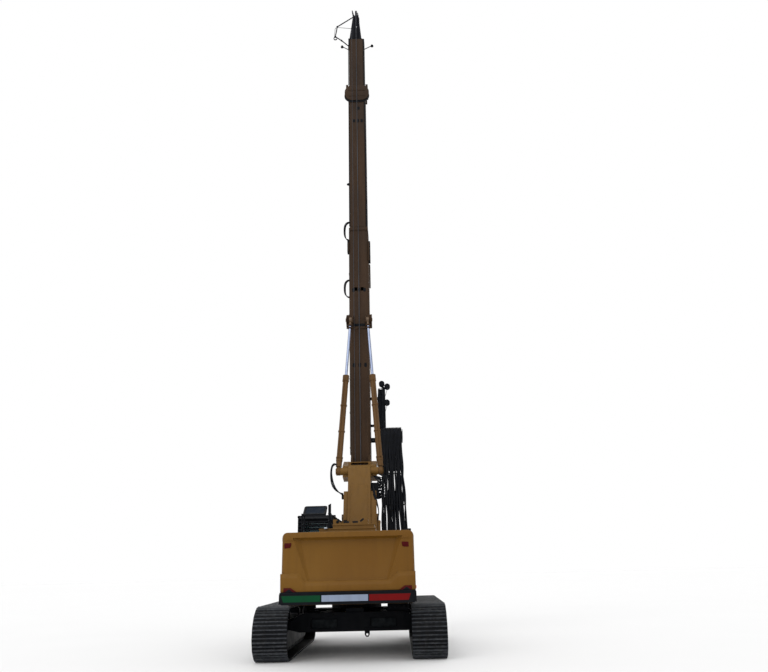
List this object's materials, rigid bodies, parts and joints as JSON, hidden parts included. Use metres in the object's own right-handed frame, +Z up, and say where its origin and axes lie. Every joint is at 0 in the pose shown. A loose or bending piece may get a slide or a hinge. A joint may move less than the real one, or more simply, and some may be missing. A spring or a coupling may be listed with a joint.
{
  "type": "rotary piling rig on crawler tracks",
  "caption": "Crawler-mounted rotary piling rig with a tall box mast, raker cylinders, rotary drive and telescopic kelly bar.",
  "frame": {"origin": "middle of the ground rectangle that the whole rig covers, tracks' grousers on the ground", "axes": "+X to the rig's right, +Y to its front, +Z up along the mast"},
  "size_m": [4.42, 8.39, 24.508],
  "materials": {
    "body_yellow": "satin",
    "mast_brown_yellow": "satin",
    "black_paint": "satin",
    "track_steel": "worn",
    "chrome_rod": "polished",
    "bare_steel": "worn",
    "engine_grey": "rough",
    "rubber": "matt",
    "seat_fabric": "woven",
    "trim_plastic": "textured",
    "tinted_glass": "clear"
  },
  "bodies": {
    "undercarriage": {"track_left": "track_steel", "track_right": "track_steel", "track_frame_left": "black_paint", "track_frame_right": "black_paint", "sprockets": "black_paint", "idlers": "black_paint", "carbody": "black_paint", "slew_ring": "black_paint"},
    "upper": {"upper_frame": "black_paint", "counterweight": "body_yellow", "bumper": "black_paint", "engine_house": "body_yellow", "engine": "engine_grey", "mast_cradle": "body_yellow", "cradle_pads": "rubber", "exhaust": "black_paint", "tank_house": "black_paint", "locker": "black_paint", "cab_shell": "black_paint", "cab_guard": "black_paint", "seat": "seat_fabric", "consoles": "trim_plastic", "cab_glass": "tinted_glass", "handrails": "black_paint"},
    "cab_door": {"cab_door": "black_paint", "door_glass": "tinted_glass"},
    "roof_hatch": {"roof_hatch": "black_paint"},
    "boom": {"boom": "body_yellow"},
    "lift_barrels": {"lift_barrels": "body_yellow"},
    "lift_rods": {"lift_rods": "chrome_rod"},
    "mast": {"mast_lower": "mast_brown_yellow", "mast_upper": "mast_brown_yellow", "mast_tip": "mast_brown_yellow", "cathead": "black_paint", "main_rope": "bare_steel", "aux_rope": "bare_steel", "rope_fall": "bare_steel", "winch_frame": "mast_brown_yellow", "crowd_cylinder": "mast_brown_yellow", "hose_saddle": "black_paint", "hose_curtain": "rubber", "lamp_post": "black_paint", "mast_fittings": "mast_brown_yellow", "service_jib": "black_paint"},
    "raker_barrels": {"raker_barrels": "body_yellow"},
    "raker_rod_left": {"raker_rod_left": "chrome_rod"},
    "raker_rod_right": {"raker_rod_right": "chrome_rod"},
    "rear_sheave": {"rear_sheave": "bare_steel"},
    "front_sheave": {"front_sheave": "bare_steel"},
    "main_drum": {"main_drum": "bare_steel"},
    "aux_drum": {"aux_drum": "bare_steel"},
    "rotary": {"rotary": "mast_brown_yellow", "crowd_rod": "chrome_rod"},
    "drive_sleeve": {"drive_sleeve": "bare_steel"},
    "kelly_guide": {"kelly_guide": "mast_brown_yellow"},
    "kelly_outer": {"kelly_outer": "bare_steel"},
    "kelly_inner": {"kelly_inner": "bare_steel"}
  },
  "joints": [
    {"name": "slew", "type": "hinge", "parent": "undercarriage", "child": "upper", "pos_m": [0, -0.775, 1.15], "axis": [0, 0, 1], "continuous": true},
    {"name": "cab_door_hinge", "type": "hinge", "parent": "upper", "child": "cab_door", "pos_m": [-1.645, -0.445, 2.4], "axis": [0, 0, 1], "range_deg": [0, 165]},
    {"name": "roof_hatch_hinge", "type": "hinge", "parent": "upper", "child": "roof_hatch", "pos_m": [-1.13, -0.285, 3.45], "axis": [1, 0, 0], "range_deg": [-31, 45]},
    {"name": "boom_hinge", "type": "hinge", "parent": "upper", "child": "boom", "pos_m": [0, 0.525, 1.95], "axis": [1, 0, 0], "range_deg": [-12, 6]},
    {"name": "lift_barrel_hinge", "type": "hinge", "parent": "upper", "child": "lift_barrels", "pos_m": [0, 1.225, 1.57], "axis": [1, 0, 0], "range_deg": [-11.2, 5.8]},
    {"name": "lift_rod_slide", "type": "slide", "parent": "lift_barrels", "child": "lift_rods", "axis": [0, 0.1285, 0.9917], "range_m": [-0.19, 0.1]},
    {"name": "mast_tilt", "type": "hinge", "parent": "boom", "child": "mast", "pos_m": [0, 2.025, 5.15], "axis": [1, 0, 0], "range_deg": [-5, 90]},
    {"name": "raker_barrel_hinge", "type": "hinge", "parent": "boom", "child": "raker_barrels", "pos_m": [0, 1.325, 4.9], "axis": [1, 0, 0], "range_deg": [-5.5, 94.5]},
    {"name": "raker_rod_left_slide", "type": "slide", "parent": "raker_barrels", "child": "raker_rod_left", "axis": [0.068, 0.1305, 0.9891], "range_m": [-1, 0.06]},
    {"name": "raker_rod_right_slide", "type": "slide", "parent": "raker_barrels", "child": "raker_rod_right", "axis": [-0.068, 0.1305, 0.9891], "range_m": [-1, 0.06]},
    {"name": "rear_sheave_turn", "type": "hinge", "parent": "mast", "child": "rear_sheave", "pos_m": [0, 2.445, 24.18], "axis": [1, 0, 0], "continuous": true},
    {"name": "front_sheave_turn", "type": "hinge", "parent": "mast", "child": "front_sheave", "pos_m": [0, 3.385, 24.12], "axis": [1, 0, 0], "continuous": true},
    {"name": "main_drum_turn", "type": "hinge", "parent": "mast", "child": "main_drum", "pos_m": [0, 1.945, 1.9], "axis": [1, 0, 0], "continuous": true},
    {"name": "aux_drum_turn", "type": "hinge", "parent": "mast", "child": "aux_drum", "pos_m": [0, 1.94, 2.65], "axis": [1, 0, 0], "continuous": true},
    {"name": "crowd", "type": "slide", "parent": "mast", "child": "rotary", "axis": [0, 0, 1], "range_m": [-0.95, 3]},
    {"name": "sleeve_turn", "type": "hinge", "parent": "rotary", "child": "drive_sleeve", "pos_m": [0, 3.745, 2.76], "axis": [0, 0, 1], "continuous": true},
    {"name": "kelly_lift", "type": "slide", "parent": "mast", "child": "kelly_guide", "axis": [0, 0, 1], "range_m": [-0.7, 1.2], "deforming": ["rope_fall"]},
    {"name": "kelly_turn", "type": "hinge", "parent": "kelly_guide", "child": "kelly_outer", "pos_m": [0, 3.745, 6], "axis": [0, 0, 1], "continuous": true},
    {"name": "kelly_run_out", "type": "slide", "parent": "kelly_outer", "child": "kelly_inner", "axis": [0, 0, 1], "range_m": [-10.5, 0]}
  ],
  "couplings": [
    {"joint": "lift_barrel_hinge", "follows": "boom_hinge", "ratio": 0.87},
    {"joint": "lift_rod_slide", "follows": "boom_hinge", "m_per_rad": 0.755},
    {"joint": "raker_barrel_hinge", "follows": "mast_tilt", "ratio": 1.044},
    {"joint": "raker_rod_left_slide", "follows": "mast_tilt", "m_per_rad": -0.63},
    {"joint": "raker_rod_right_slide", "follows": "mast_tilt", "m_per_rad": -0.63},
    {"joint": "kelly_turn", "follows": "sleeve_turn", "ratio": 1}
  ]
}
